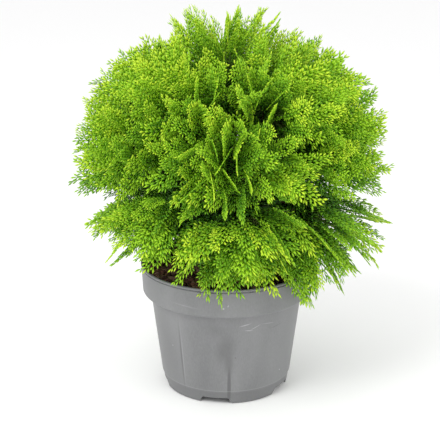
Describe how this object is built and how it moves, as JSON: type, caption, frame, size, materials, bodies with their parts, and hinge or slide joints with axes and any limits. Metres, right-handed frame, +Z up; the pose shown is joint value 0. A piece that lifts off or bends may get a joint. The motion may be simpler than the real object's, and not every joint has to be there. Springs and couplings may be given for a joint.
{
  "type": "potted globe arborvitae",
  "caption": "Round dwarf evergreen shrub of flat scaly fans on a short trunk with rising boughs, growing in a turned plastic nursery pot.",
  "frame": {"origin": "on the pot's axis, in the plane that the pot stands on", "axes": "+Z up, the plant's front faces -Y, +X to the right seen from the front"},
  "size_m": [0.3388, 0.3251, 0.4129],
  "materials": {
    "pot": "smooth moulded grey plastic, scuffed",
    "mulch": "rough bark chips",
    "bark": "rough fibrous bark",
    "foliage": "soft satin scale leaves, lime at the tips"
  },
  "bodies": {
    "root": {"pot": "pot", "soil": "mulch", "trunk": "bark", "bough_upper_front_left": "bark", "bough_upper_front_right": "bark", "bough_upper_right": "bark", "bough_upper_back": "bark", "bough_upper_left": "bark", "bough_middle_front": "bark", "bough_middle_right": "bark", "bough_middle_back_right": "bark", "bough_middle_back_left": "bark", "bough_middle_left": "bark", "bough_lower_front_left": "bark", "bough_lower_front": "bark", "bough_lower_right": "bark", "bough_lower_back_right": "bark", "bough_lower_back_left": "bark", "foliage_top": "foliage", "foliage_upper_front_left": "foliage", "foliage_upper_front_right": "foliage", "foliage_upper_right": "foliage", "foliage_upper_back": "foliage", "foliage_upper_left": "foliage", "foliage_middle_front": "foliage", "foliage_middle_right": "foliage", "foliage_middle_back_right": "foliage", "foliage_middle_back_left": "foliage", "foliage_middle_left": "foliage", "foliage_lower_front_left": "foliage", "foliage_lower_front": "foliage", "foliage_lower_right": "foliage", "foliage_lower_back_right": "foliage", "foliage_lower_back_left": "foliage"}
  },
  "joints": []
}
